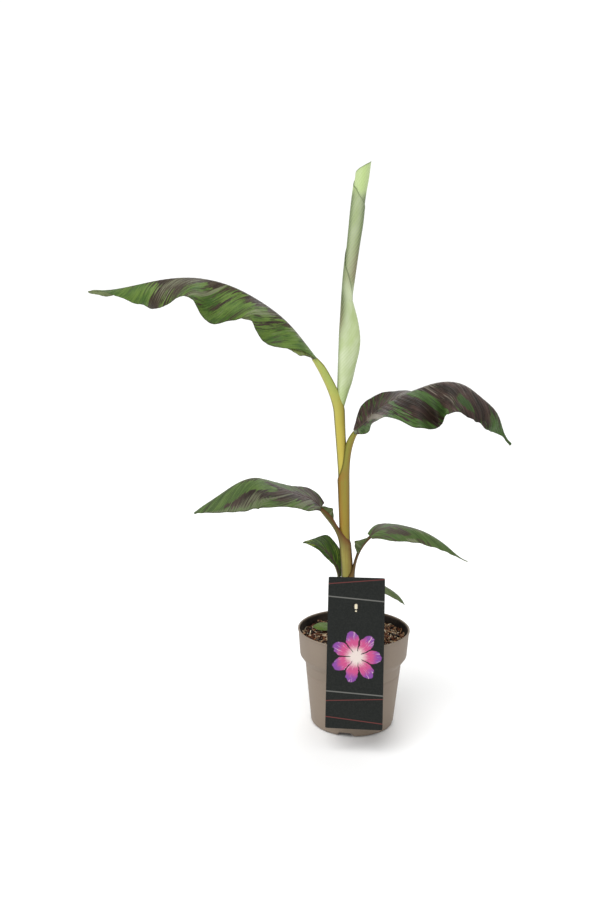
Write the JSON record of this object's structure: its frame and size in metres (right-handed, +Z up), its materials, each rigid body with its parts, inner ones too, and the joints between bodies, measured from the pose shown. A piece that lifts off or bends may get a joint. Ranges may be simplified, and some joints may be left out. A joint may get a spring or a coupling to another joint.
{
  "type": "potted banana plant",
  "caption": "Young banana plant in a tapered nursery pot: slender sheathed stem, rolled new leaf, arching broad leaves and a blank label card that leans on the rim.",
  "frame": {"origin": "centre of the pot's flat underside", "axes": "+Z up along the plant, +X towards the lower right leaf, -Y towards the label card"},
  "size_m": [0.4275, 0.1465, 0.5869],
  "materials": {
    "pot": "matt taupe, thin moulded plastic",
    "potting_mix": "moist bark chips and fibres",
    "stem": "smooth waxy leaf sheath, yellow-green with reddish edges",
    "rolled_leaf": "pale waxy green",
    "leaf": "satin dark green with maroon flushes",
    "card": "satin charcoal printed sheet",
    "peg": "cream moulded plastic"
  },
  "bodies": {
    "root": {"pot": "pot", "potting_mix": "potting_mix", "pseudostem": "stem", "rolled_leaf": "rolled_leaf", "leaf_upper_left_petiole": "stem", "leaf_upper_left_inner": "leaf", "leaf_upper_left_outer": "leaf", "leaf_upper_right_petiole": "stem", "leaf_upper_right_inner": "leaf", "leaf_upper_right_outer": "leaf", "leaf_middle_left_petiole": "stem", "leaf_middle_left_blade": "leaf", "leaf_lower_right_petiole": "stem", "leaf_lower_right_blade": "leaf", "leaf_lower_left_petiole": "stem", "leaf_lower_left_blade": "leaf", "leaf_behind_card_petiole": "stem", "leaf_behind_card_blade": "leaf", "leaf_at_soil_petiole": "stem", "leaf_at_soil_blade": "leaf", "label_card": "card", "card_peg": "peg"}
  },
  "joints": []
}
